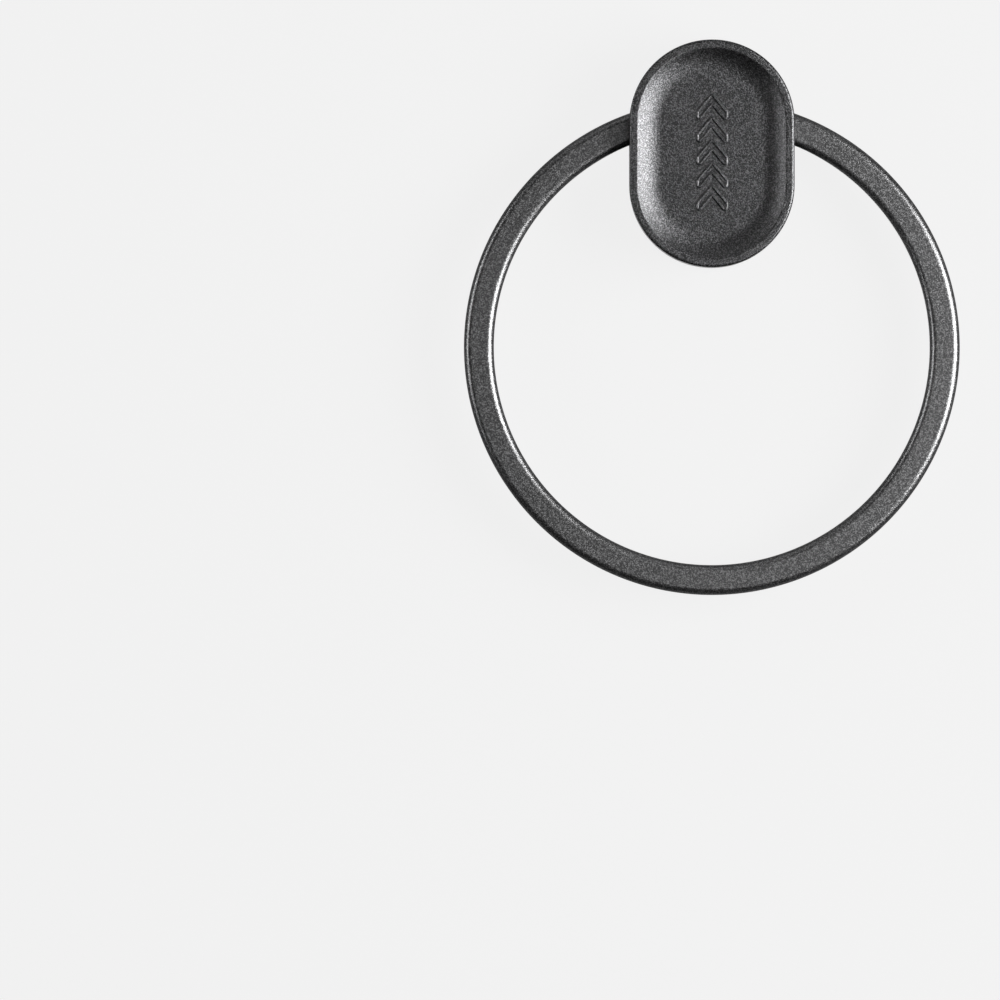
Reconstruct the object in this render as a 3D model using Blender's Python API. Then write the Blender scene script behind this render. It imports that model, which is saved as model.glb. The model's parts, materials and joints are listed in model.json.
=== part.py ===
"""Quick-release key ring: an open steel ring that runs through an oval two-shell clasp.

Everything is in metres. The ring lies flat, +Z is its thickness, and +Y points from the
ring's centre to the clasp. Pushing the clasp outwards along +Y lifts the lock spring's nose
out of the ring's gap, and the ring then turns until its gap comes out beside the clasp.
"""

import math

import bpy
from mathutils import Vector

MM = 0.001

# Ring
RING_OUTER_RADIUS = 17.0 * MM
RING_BAND_WIDTH = 2.05 * MM
RING_THICKNESS = 2.2 * MM
RING_EDGE_FILLET = 0.48 * MM
RING_GAP_ANGLE = math.radians(14.6)
RING_END_OUTER_FILLET = 0.25 * MM
RING_END_INNER_FILLET = 1.6 * MM

# Clasp
PAD_WIDTH = 11.3 * MM
PAD_LENGTH = 15.6 * MM
PAD_THICKNESS = 6.4 * MM
RING_RISE = 3.75 * MM  # from the pad's centre up to the ring's outer edge
PUSH_TRAVEL = 3.7 * MM
RIM_WIDTH = 0.55 * MM
RIM_FILLET = 0.18 * MM
DISH_DEPTH = 0.5 * MM
DISH_WALL_WIDTH = 1.65 * MM
DISH_CURVE = 2.0
SEAM_GAP = 0.05 * MM
SEAM_BEVEL = 0.08 * MM
SIDE_WALL = 0.95 * MM
LOCK_SEAT_WALL = 2.2 * MM
RETURN_SEAT_WALL = 1.5 * MM

# Guide that carries the ring inside the clasp
GUIDE_CHEEK = 0.35 * MM
GUIDE_CHEEK_STEP = 0.2 * MM
GUIDE_FLOOR = 1.9 * MM
GUIDE_CORNER_RADIUS = 1.5 * MM

# Springs and pins
LOCK_STRIP = 0.3 * MM
LOCK_BEND_RADIUS = 0.35 * MM
LOCK_SIDE_GAP = 0.2 * MM  # to the guide's cheeks
LOCK_NOSE_DEPTH = 1.3 * MM
LOCK_NOSE_INSET = 0.95 * MM  # how much narrower the nose is than the ring's gap, each side
SPRING_OUTER_RADIUS = 0.9 * MM
SPRING_WIRE_RADIUS = 0.13 * MM
SPRING_TURNS = 6.5
SPRING_DEAD_TURNS = 1.0
PIN_RADIUS = 0.45 * MM
PIN_LENGTH = 4.2 * MM
PIN_WALL_GAP = 0.2 * MM

# Fits
RUNNING_CLEARANCE = 0.1 * MM
SLOT_CLEARANCE = 0.15 * MM
PIN_CLEARANCE = 0.02 * MM
SEAT_CLEARANCE = 0.03 * MM

# Smoothness of round shapes
RING_STEP = math.radians(3.0)
STADIUM_STEPS = 24
CORNER_STEPS = 4
DISH_STEPS = 7
PIN_SIDES = 24
WIRE_SIDES = 7
STEPS_PER_TURN = 18
SMOOTH_ANGLE = math.radians(32)

# Sizes that follow from those above
RING_INNER_RADIUS = RING_OUTER_RADIUS - RING_BAND_WIDTH
RING_HALF = RING_THICKNESS / 2
PAD_RADIUS = PAD_WIDTH / 2
PAD_HALF_LENGTH = PAD_LENGTH / 2
PAD_HALF = PAD_THICKNESS / 2
CAVITY_RADIUS = PAD_RADIUS - SIDE_WALL
CHANNEL_HALF = RING_HALF + RUNNING_CLEARANCE
GUIDE_HALF = CHANNEL_HALF + GUIDE_CHEEK
LOCK_HALF_HEIGHT = CHANNEL_HALF - LOCK_SIDE_GAP
CAVITY_HALF = GUIDE_HALF + RUNNING_CLEARANCE
GUIDE_HALF_WIDTH = CAVITY_RADIUS - SLOT_CLEARANCE
GUIDE_BOTTOM = RING_INNER_RADIUS - RUNNING_CLEARANCE - GUIDE_FLOOR
LOCK_SEAT = PAD_HALF_LENGTH - LOCK_SEAT_WALL
RETURN_SEAT = RETURN_SEAT_WALL - PAD_HALF_LENGTH
PAD_TO_RING = RING_OUTER_RADIUS - RING_RISE
PAD_Y = (RING_OUTER_RADIUS + PAD_TO_RING - PAD_HALF_LENGTH) / 2


def clear_scene():
    """Remove every object of the startup scene."""
    for old in list(bpy.data.objects):
        bpy.data.objects.remove(old, do_unlink=True)


def make_material(name, colour, metallic, roughness):
    """Return a Principled material."""
    material = bpy.data.materials.new(name)
    material.use_nodes = True
    shader = material.node_tree.nodes["Principled BSDF"]
    shader.inputs["Base Color"].default_value = (*colour, 1.0)
    shader.inputs["Metallic"].default_value = metallic
    shader.inputs["Roughness"].default_value = roughness
    return material


def make_empty(name, location, parent=None):
    """Return an empty that carries other objects."""
    empty = bpy.data.objects.new(name, None)
    empty.empty_display_size = 2 * MM
    empty.location = location
    empty.parent = parent
    bpy.context.scene.collection.objects.link(empty)
    return empty


def make_object(name, vertices, faces, parent, material=None):
    """Return a mesh object under its parent, shaded smooth up to the smoothing angle."""
    mesh = bpy.data.meshes.new(name)
    mesh.from_pydata([Vector(v) for v in vertices], [], faces)
    mesh.update()
    mesh.shade_smooth()
    mesh.set_sharp_from_angle(angle=SMOOTH_ANGLE)
    if material:
        mesh.materials.append(material)
    made = bpy.data.objects.new(name, mesh)
    made.parent = parent
    bpy.context.scene.collection.objects.link(made)
    return made


def loft_faces(loops, count):
    """Return quads between successive loops, with the first and last loops filled."""
    faces = [tuple(reversed(range(count)))]
    for loop in range(loops - 1):
        for i in range(count):
            j = (i + 1) % count
            low, high = loop * count, (loop + 1) * count
            faces.append((low + i, low + j, high + j, high + i))
    last = (loops - 1) * count
    faces.append(tuple(range(last, last + count)))
    return faces


def make_loft(name, loops, parent, material=None):
    """Return a closed solid through loops of equal length, given from bottom to top."""
    vertices = [point for loop in loops for point in loop]
    return make_object(name, vertices, loft_faces(len(loops), len(loops[0])), parent, material)


def make_prism(name, outline, low, high, parent, material=None):
    """Return a solid with an anticlockwise plan outline between two heights."""
    loops = [[(x, y, z) for x, y in outline] for z in (low, high)]
    return make_loft(name, loops, parent, material)


def as_cutter(tool):
    """Hide a solid that only cuts others."""
    tool.hide_render = True
    tool.display_type = "WIRE"
    return tool


def cut(target, tool):
    """Cut a tool out of a solid."""
    modifier = target.modifiers.new(tool.name, "BOOLEAN")
    modifier.operation = "DIFFERENCE"
    modifier.solver = "EXACT"
    modifier.object = tool


def arc(centre, radius, start, end, steps):
    """Return points along an arc between two angles, both ends included."""
    turns = [start + (end - start) * i / steps for i in range(steps + 1)]
    return [(centre[0] + radius * math.cos(t), centre[1] + radius * math.sin(t)) for t in turns]


def rounded_path(points, radius, steps):
    """Return an open path with its inner corners rounded."""
    path = [points[0]]
    for before, corner, after in zip(points, points[1:], points[2:]):
        corner = Vector(corner)
        back = (Vector(before) - corner).normalized()
        ahead = (Vector(after) - corner).normalized()
        half_angle = back.angle(ahead) / 2
        reach = radius / math.tan(half_angle)
        centre = corner + (back + ahead).normalized() * radius / math.sin(half_angle)
        start = corner + back * reach - centre
        turn = start.angle_signed(corner + ahead * reach - centre)
        first = math.atan2(start.y, start.x)
        path += arc(centre, radius, first, first - turn, steps)
    return path + [points[-1]]


def strip_outline(path, thickness):
    """Return the outline of a strip of even thickness along a path."""
    left, right = [], []
    for i, point in enumerate(path):
        before = Vector(path[max(i - 1, 0)])
        after = Vector(path[min(i + 1, len(path) - 1)])
        along = (after - before).normalized()
        side = Vector((-along.y, along.x)) * thickness / 2
        left.append(tuple(Vector(point) + side))
        right.append(tuple(Vector(point) - side))
    return right + left[::-1]


def cavity_half_width(y, gap=0.0):
    """Return half the hollow's width at a distance along the pad, less a gap to its wall."""
    centre = PAD_HALF_LENGTH - PAD_RADIUS
    return math.sqrt((CAVITY_RADIUS - gap) ** 2 - (abs(y) - centre) ** 2)


def ring_height(radius, x, pushed=0.0):
    """Return how far from the pad's centre a ring radius stands at a sideways distance."""
    return math.sqrt(radius**2 - x**2) - PAD_TO_RING - pushed


def stadium(inset, z):
    """Return one loop of the pad's outline, drawn in by an inset."""
    radius = PAD_RADIUS - inset
    centre = PAD_HALF_LENGTH - PAD_RADIUS
    upper = arc((0, centre), radius, 0, math.pi, STADIUM_STEPS)
    lower = arc((0, -centre), radius, math.pi, 2 * math.pi, STADIUM_STEPS)
    return [(x, y, z) for x, y in upper + lower]


def quarter(steps):
    """Return (sine, one minus cosine) pairs over a quarter turn."""
    turns = [math.pi / 2 * i / steps for i in range(steps + 1)]
    return [(math.sin(t), 1 - math.cos(t)) for t in turns]


def shell_profile():
    """Return (inset, height) from the seam, over the rim and down to the dish's floor."""
    seam = SEAM_GAP / 2
    profile = [(SEAM_BEVEL, seam), (0.0, seam + SEAM_BEVEL)]
    for rise, inset in quarter(CORNER_STEPS):
        profile.append((inset * RIM_FILLET, PAD_HALF - RIM_FILLET + rise * RIM_FILLET))
    for i in range(DISH_STEPS + 1):
        share = i / DISH_STEPS
        drop = DISH_DEPTH * (1 - (1 - share) ** DISH_CURVE)
        profile.append((RIM_WIDTH + share * DISH_WALL_WIDTH, PAD_HALF - drop))
    return profile


def cavity_outline():
    """Return the plan of the clasp's hollow, with a flat seat for the springs at each end."""
    centre = PAD_HALF_LENGTH - PAD_RADIUS
    top = math.asin((LOCK_SEAT - centre) / CAVITY_RADIUS)
    bottom = math.asin((-centre - RETURN_SEAT) / CAVITY_RADIUS)
    steps = STADIUM_STEPS // 2
    right = arc((0, -centre), CAVITY_RADIUS, -bottom, 0, steps)
    right += arc((0, centre), CAVITY_RADIUS, 0, top, steps)
    return right + [(-x, y) for x, y in reversed(right)]


def pin_places():
    """Return each pin's name and place in the clasp, just inside the hollow's wall."""
    gap = PIN_RADIUS + PIN_WALL_GAP
    inner_y = GUIDE_BOTTOM - PAD_TO_RING - PUSH_TRAVEL - RUNNING_CLEARANCE - PIN_RADIUS
    strip_y = LOCK_SEAT - RUNNING_CLEARANCE - LOCK_STRIP
    outer_y = strip_y - RUNNING_CLEARANCE - PIN_RADIUS
    places = {}
    for word, side in (("left", -1), ("right", 1)):
        places[f"pin_outer_{word}"] = (side * cavity_half_width(outer_y, gap), outer_y)
        places[f"pin_inner_{word}"] = (side * cavity_half_width(inner_y, gap), inner_y)
    return places


def make_clasp_cutters(clasp):
    """Return the solids that hollow out both shells."""
    hollow = make_prism("hollow_cutter", cavity_outline(), -CAVITY_HALF, CAVITY_HALF, clasp)
    top = ring_height(RING_OUTER_RADIUS, CAVITY_RADIUS) + SLOT_CLEARANCE
    bottom = ring_height(RING_INNER_RADIUS, PAD_RADIUS, PUSH_TRAVEL) - SLOT_CLEARANCE
    reach = PAD_WIDTH
    corners = [(-reach, bottom), (reach, bottom), (reach, top), (-reach, top)]
    half = RING_HALF + SLOT_CLEARANCE
    tools = [hollow, make_prism("slot_cutter", corners, -half, half, clasp)]
    depth = PIN_LENGTH / 2 + RUNNING_CLEARANCE
    turn = 2 * math.pi * (1 - 1 / PIN_SIDES)
    for name, place in pin_places().items():
        hole = arc(place, PIN_RADIUS + PIN_CLEARANCE, 0, turn, PIN_SIDES - 1)
        tools.append(make_prism(f"{name}_cutter", hole, -depth, depth, clasp))
    return [as_cutter(tool) for tool in tools]


def make_shells(clasp, material):
    """Build the front shell and, turned over about the clasp's long axis, the back shell."""
    loops = [stadium(inset, z) for inset, z in shell_profile()]
    tools = make_clasp_cutters(clasp)
    for name, turn in (("front_shell", 0.0), ("back_shell", math.pi)):
        shell = make_loft(name, loops, clasp, material)
        shell.rotation_euler.y = turn
        for tool in tools:
            cut(shell, tool)


def make_pins(clasp, material):
    """Build the four pins that hold the shells together and stop the guide."""
    turn = 2 * math.pi * (1 - 1 / PIN_SIDES)
    for name, place in pin_places().items():
        circle = arc((0, 0), PIN_RADIUS, 0, turn, PIN_SIDES - 1)
        pin = make_prism(name, circle, -PIN_LENGTH / 2, PIN_LENGTH / 2, clasp, material)
        pin.location = (*place, 0)


def make_lock_spring(clasp, material):
    """Build the hat-shaped leaf spring whose nose stands in the ring's gap."""
    flange_y = LOCK_SEAT - RUNNING_CLEARANCE - LOCK_STRIP / 2
    nose_y = ring_height(RING_OUTER_RADIUS, 0) - LOCK_NOSE_DEPTH
    nose_x = RING_OUTER_RADIUS * math.sin(RING_GAP_ANGLE / 2) - LOCK_NOSE_INSET
    shoulder_x = pin_places()["pin_outer_right"][0] - PIN_RADIUS - RUNNING_CLEARANCE
    flange_x = cavity_half_width(LOCK_SEAT) - RUNNING_CLEARANCE
    right = [(nose_x, nose_y), (shoulder_x, flange_y), (flange_x, flange_y)]
    corners = [(-x, y) for x, y in reversed(right)] + right
    path = rounded_path(corners, LOCK_BEND_RADIUS, CORNER_STEPS)
    outline = strip_outline(path, LOCK_STRIP)
    make_prism("lock_spring", outline, -LOCK_HALF_HEIGHT, LOCK_HALF_HEIGHT, clasp, material)


def coil_centre(share, length, wire_step):
    """Return the height along a coil, with dead turns lying close at both ends."""
    turn = share * SPRING_TURNS
    free = SPRING_TURNS - 2 * SPRING_DEAD_TURNS
    pitch = (length - 2 * SPRING_DEAD_TURNS * wire_step) / free
    first = min(turn, SPRING_DEAD_TURNS)
    last = max(turn - SPRING_TURNS + SPRING_DEAD_TURNS, 0.0)
    return (first + last) * wire_step + (turn - first - last) * pitch


def make_return_springs(clasp, material):
    """Build the two coil springs that push the guide, and so the ring, back outwards."""
    low = RETURN_SEAT + SEAT_CLEARANCE + SPRING_WIRE_RADIUS
    high = GUIDE_BOTTOM - PAD_TO_RING - SEAT_CLEARANCE - SPRING_WIRE_RADIUS
    mean = SPRING_OUTER_RADIUS - SPRING_WIRE_RADIUS
    sideways = cavity_half_width(RETURN_SEAT) - SPRING_OUTER_RADIUS - SLOT_CLEARANCE
    wire_step = 2 * SPRING_WIRE_RADIUS + SEAT_CLEARANCE
    steps = int(SPRING_TURNS * STEPS_PER_TURN)
    for name, side in (("return_spring_left", -1), ("return_spring_right", 1)):
        loops = []
        for i in range(steps + 1):
            turn = 2 * math.pi * SPRING_TURNS * i / steps
            along = coil_centre(i / steps, high - low, wire_step)
            loop = []
            for k in range(WIRE_SIDES):
                around = 2 * math.pi * k / WIRE_SIDES
                radius = mean + SPRING_WIRE_RADIUS * math.cos(around)
                height = low + along + SPRING_WIRE_RADIUS * math.sin(around)
                loop.append((radius * math.cos(turn), height, radius * math.sin(turn)))
            loops.append(loop)
        spring = make_loft(name, loops, clasp, material)
        spring.location.x = side * sideways


def make_guide(slide, material):
    """Build the channel that holds the ring; its origin is the ring's centre."""
    cheek_radius = RING_OUTER_RADIUS - GUIDE_CHEEK_STEP
    top = math.acos(GUIDE_HALF_WIDTH / cheek_radius)
    corner = (GUIDE_HALF_WIDTH - GUIDE_CORNER_RADIUS, GUIDE_BOTTOM + GUIDE_CORNER_RADIUS)
    right = arc(corner, GUIDE_CORNER_RADIUS, -math.pi / 2, 0, 2 * CORNER_STEPS)
    left = [(-x, y) for x, y in reversed(right)]
    outline = right + arc((0, 0), cheek_radius, top, math.pi - top, STADIUM_STEPS) + left
    guide = make_prism("ring_guide", outline, -GUIDE_HALF, GUIDE_HALF, slide, material)
    floor_radius = RING_INNER_RADIUS - RUNNING_CLEARANCE
    reach = RING_OUTER_RADIUS + PAD_WIDTH
    wide = math.asin(PAD_RADIUS / floor_radius)
    start, end = math.pi / 2 - wide, math.pi / 2 + wide
    channel = arc((0, 0), reach, start, end, STADIUM_STEPS)
    channel += arc((0, 0), floor_radius, end, start, STADIUM_STEPS)
    half = CHANNEL_HALF
    cut(guide, as_cutter(make_prism("channel_cutter", channel, -half, half, slide)))


def corner_drop(distance, fillet):
    """Return how far a fillet still stands back at a distance from its start."""
    if distance >= fillet:
        return 0.0
    return fillet - math.sqrt(fillet**2 - (fillet - distance) ** 2)


def ring_section(turn, distance):
    """Return one rounded section of the ring, drawn in close to the ring's ends."""
    inner = RING_INNER_RADIUS + corner_drop(distance, RING_END_INNER_FILLET)
    outer = RING_OUTER_RADIUS - corner_drop(distance, RING_END_OUTER_FILLET)
    half = RING_HALF - corner_drop(distance, RING_EDGE_FILLET)
    fillet = min(RING_EDGE_FILLET, (outer - inner) / 3)
    loop = []
    for quarter_turn in range(4):
        start = quarter_turn * math.pi / 2
        right, up = quarter_turn in (0, 3), quarter_turn < 2
        centre = (
            outer - fillet if right else inner + fillet,
            half - fillet if up else fillet - half,
        )
        loop += arc(centre, fillet, start, start + math.pi / 2, CORNER_STEPS)
    return [(r * math.cos(turn), r * math.sin(turn), z) for r, z in loop]


def make_ring(axis, material):
    """Build the open ring about its own centre, with its gap under the clasp."""
    mean = (RING_INNER_RADIUS + RING_OUTER_RADIUS) / 2
    start = math.pi / 2 + RING_GAP_ANGLE / 2
    span = 2 * math.pi - RING_GAP_ANGLE
    end_steps = 2 * CORNER_STEPS
    end_part = [RING_END_INNER_FILLET * drop for _, drop in quarter(end_steps)]
    body = span - 2 * RING_END_INNER_FILLET / mean
    body_steps = round(body / RING_STEP)
    places = [(start + d / mean, d) for d in end_part]
    for i in range(1, body_steps):
        places.append((places[end_steps][0] + body * i / body_steps, mean))
    places += [(start + span - d / mean, d) for d in reversed(end_part)]
    loops = [ring_section(turn, distance)[::-1] for turn, distance in places]
    make_loft("split_ring", loops, axis, material)


def main():
    """Build the whole key ring in its closed state."""
    clear_scene()
    coating = make_material("black_shell", (0.055, 0.056, 0.06), 0.9, 0.42)
    ring_steel = make_material("black_ring_steel", (0.06, 0.06, 0.064), 0.95, 0.38)
    spring_steel = make_material("spring_steel", (0.55, 0.54, 0.52), 1.0, 0.28)
    pin_steel = make_material("pin_steel", (0.62, 0.62, 0.62), 1.0, 0.32)
    acetal = make_material("black_acetal", (0.03, 0.03, 0.032), 0.0, 0.45)
    clasp = make_empty("clasp_centre", (0, PAD_Y, PAD_HALF))
    slide = make_empty("guide_slide", (0, -PAD_TO_RING, 0), clasp)
    axis = make_empty("ring_axis", (0, 0, 0), slide)
    make_shells(clasp, coating)
    make_pins(clasp, pin_steel)
    make_lock_spring(clasp, spring_steel)
    make_return_springs(clasp, spring_steel)
    make_guide(slide, acetal)
    make_ring(axis, ring_steel)


main()
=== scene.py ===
"""Dresses the quick-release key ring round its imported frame.

The ring lies flat on a pale floor with +Z up. Every size is in metres. The clasp's two shells,
the open bar, the coil springs and the pins are rebuilt finely in the places that the frame
gives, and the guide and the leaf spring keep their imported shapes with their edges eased.
"""

import json
import logging
import math
from collections.abc import Iterable, Sequence
from dataclasses import dataclass
from enum import Enum

import bpy
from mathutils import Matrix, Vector


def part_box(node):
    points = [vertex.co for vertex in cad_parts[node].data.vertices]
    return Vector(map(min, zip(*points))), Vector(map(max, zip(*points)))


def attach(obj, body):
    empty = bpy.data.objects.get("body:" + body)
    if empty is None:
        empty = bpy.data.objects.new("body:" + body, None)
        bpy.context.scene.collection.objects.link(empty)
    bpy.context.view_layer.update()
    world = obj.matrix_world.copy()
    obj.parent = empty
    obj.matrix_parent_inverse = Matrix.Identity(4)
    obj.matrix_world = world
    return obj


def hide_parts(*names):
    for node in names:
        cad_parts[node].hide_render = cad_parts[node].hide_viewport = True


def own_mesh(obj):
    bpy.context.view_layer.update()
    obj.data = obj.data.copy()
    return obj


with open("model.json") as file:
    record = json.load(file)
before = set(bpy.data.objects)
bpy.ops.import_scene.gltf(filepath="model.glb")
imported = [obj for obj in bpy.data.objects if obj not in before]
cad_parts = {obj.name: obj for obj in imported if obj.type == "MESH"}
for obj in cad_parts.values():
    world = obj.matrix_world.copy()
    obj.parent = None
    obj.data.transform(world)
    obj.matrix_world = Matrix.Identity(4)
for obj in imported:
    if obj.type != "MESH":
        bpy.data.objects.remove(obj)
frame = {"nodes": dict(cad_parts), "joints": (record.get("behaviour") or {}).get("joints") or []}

log = logging.getLogger("key_ring")

MM = 0.001
FULL_TURN = 2 * math.pi
RIGHT_ANGLE = math.pi / 2
SMOOTH_ANGLE = math.radians(28)
FLOAT = "NodeSocketFloat"
VECTOR = "NodeSocketVector"
WHOLE = "NodeSocketInt"
SHAPE = "NodeSocketGeometry"
PIN_NODES = ("pin_outer_left", "pin_outer_right", "pin_inner_left", "pin_inner_right")

Point = tuple[float, float, float]
PlanPoint = tuple[float, float]
Colour = tuple[float, float, float]
Socket = bpy.types.NodeSocket


class Body(Enum):
    """The moving bodies of the key ring."""

    CLASP = "clasp"
    GUIDE = "guide"
    RING = "ring"


class Slot(Enum):
    """The finishes that the record names."""

    SHELL = "shell"
    RING = "ring"
    SPRING = "spring_steel"
    PIN = "pin_steel"
    GUIDE = "guide"


class Half(Enum):
    """The clasp's two halves, by which way each one stands from the seam."""

    FRONT = 1
    BACK = -1


class Axis(Enum):
    """The axes that steel is drawn along, by number."""

    Y = 1
    Z = 2


# ---- node helpers


class NodeSheet:
    """Adds nodes to one tree and wires them."""

    # A Mix node has one set of sockets for each kind of value, so its colour sockets go by number.
    MIX_SHARE, MIX_LOW, MIX_HIGH, MIX_RESULT = 0, 6, 7, 2

    def __init__(self, tree: bpy.types.NodeTree) -> None:
        """Hold the tree that nodes are added to."""
        self.tree = tree

    def add(self, kind: str, inputs: dict | None = None, **settings: object) -> bpy.types.Node:
        """Add one node.

        Args:
            kind: The node's type.
            inputs: Values or sockets for its inputs, by name or number.
            **settings: The node's own settings.

        Returns:
            The new node.
        """
        node = self.tree.nodes.new(kind)
        for name, value in settings.items():
            setattr(node, name, value)
        for key, value in (inputs or {}).items():
            if isinstance(value, Socket):
                self.tree.links.new(value, node.inputs[key])
            else:
                node.inputs[key].default_value = value
        return node

    def math(self, operation: str, *values: object) -> Socket:
        """Return the result of one Math node on one, two or three values."""
        return self.add("ShaderNodeMath", dict(enumerate(values)), operation=operation).outputs[0]

    def mix_colour(self, share: object, low: object, high: object) -> Socket:
        """Mix two colours.

        Args:
            share: How much of the second colour there is, as a socket or a number.
            low: The first colour, as a socket or three numbers.
            high: The second colour, as a socket or three numbers.

        Returns:
            The mixed colour.
        """
        first, second = (c if isinstance(c, Socket) else (*c, 1.0) for c in (low, high))
        inputs = {self.MIX_SHARE: share, self.MIX_LOW: first, self.MIX_HIGH: second}
        return self.add("ShaderNodeMix", inputs, data_type="RGBA").outputs[self.MIX_RESULT]

    def spread(
        self, value: Socket, low: float, high: float, to_low: float = 0.0, to_high: float = 1.0
    ) -> Socket:
        """Return a value carried from one range to another, held inside it."""
        ranges = {0: value, 1: low, 2: high, 3: to_low, 4: to_high}
        return self.add("ShaderNodeMapRange", ranges).outputs[0]

    def noise(self, place: Socket, scale: object, detail: float, roughness: float = 0.5) -> Socket:
        """Return the value of a Noise Texture."""
        inputs = {"Vector": place, "Scale": scale, "Detail": detail, "Roughness": roughness}
        return self.add("ShaderNodeTexNoise", inputs).outputs[0]


class ShaderGroup:
    """A shader node group under construction."""

    def __init__(self, name: str, inputs: dict[str, str], outputs: Iterable[str]) -> None:
        """Make the group with its named sockets.

        Args:
            name: The group's name.
            inputs: Each input's name and socket type.
            outputs: The name of each output, which is a number.
        """
        self.tree = bpy.data.node_groups.new(name, "ShaderNodeTree")
        for label, kind in inputs.items():
            self.tree.interface.new_socket(label, in_out="INPUT", socket_type=kind)
        for label in outputs:
            self.tree.interface.new_socket(label, in_out="OUTPUT", socket_type=FLOAT)
        self.sheet = NodeSheet(self.tree)
        self.given = self.sheet.add("NodeGroupInput").outputs
        self.result = self.sheet.add("NodeGroupOutput").inputs

    def give(self, name: str, value: Socket) -> None:
        """Wire one of the group's outputs."""
        self.tree.links.new(value, self.result[name])


class SharedEffects:
    """The surface effects that more than one finish uses."""

    PIT_SHARE = 0.82
    DIMPLE_SCALE = 0.42
    RELIEF_SPAN = (0.3, 0.7)
    TONE_SPAN = (0.42, 0.8)
    WEAR_SCALE, WEAR_SPAN = 900.0, (0.42, 0.68)
    DUST_SCALE, DUST_SPAN = 520.0, (0.5, 0.72)
    LEVEL_SPAN = (0.6, 1.0)

    def __init__(self) -> None:
        """Build every group once."""
        self.grain = self._grain()
        self.wear = self._wear()
        self.dust = self._dust()

    def _grain(self) -> bpy.types.NodeTree:
        """Make the pitted skin that bead blasting leaves: fine pits over broader dimples.

        Returns:
            A group that gives the skin's height and its tone.
        """
        inputs = {"Vector": VECTOR, "Grain Size": FLOAT}
        group = ShaderGroup("blast_grain", inputs, ("Height", "Tone"))
        sheet, given = group.sheet, group.given
        fine_scale = sheet.math("DIVIDE", 1.0, given["Grain Size"])
        broad_scale = sheet.math("MULTIPLY", fine_scale, self.DIMPLE_SCALE)
        fine = sheet.noise(given["Vector"], fine_scale, detail=2.0, roughness=0.6)
        broad = sheet.noise(given["Vector"], broad_scale, detail=1.0)
        pits = sheet.spread(fine, *self.RELIEF_SPAN)
        dimples = sheet.spread(broad, *self.RELIEF_SPAN)
        under = sheet.math("MULTIPLY", dimples, 1.0 - self.PIT_SHARE)
        height = sheet.math("MULTIPLY_ADD", pits, self.PIT_SHARE, under)
        group.give("Height", height)
        group.give("Tone", sheet.spread(height, *self.TONE_SPAN))
        return group.tree

    def _wear(self) -> bpy.types.NodeTree:
        """Make the mask of rubbed edges, broken up along their length.

        Returns:
            A group that gives the mask.
        """
        inputs = {"Vector": VECTOR, "Edge": FLOAT, "Amount": FLOAT}
        group = ShaderGroup("edge_wear", inputs, ("Mask",))
        sheet, given = group.sheet, group.given
        noise = sheet.noise(given["Vector"], self.WEAR_SCALE, detail=4.0)
        patches = sheet.spread(noise, *self.WEAR_SPAN)
        rubbed = sheet.math("MULTIPLY", patches, given["Edge"])
        group.give("Mask", sheet.math("MULTIPLY", rubbed, given["Amount"]))
        return group.tree

    def _dust(self) -> bpy.types.NodeTree:
        """Make the mask of the fine dust that settles on faces that look up.

        Returns:
            A group that gives the mask.
        """
        group = ShaderGroup("settled_dust", {"Vector": VECTOR, "Amount": FLOAT}, ("Mask",))
        sheet, given = group.sheet, group.given
        noise = sheet.noise(given["Vector"], self.DUST_SCALE, detail=5.0)
        specks = sheet.spread(noise, *self.DUST_SPAN)
        normal = sheet.add("ShaderNodeNewGeometry").outputs["Normal"]
        upward = sheet.add("ShaderNodeSeparateXYZ", {0: normal}).outputs["Z"]
        level = sheet.spread(upward, *self.LEVEL_SPAN)
        settled = sheet.math("MULTIPLY", specks, level)
        group.give("Mask", sheet.math("MULTIPLY", settled, given["Amount"]))
        return group.tree


# ---- finishes


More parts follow.
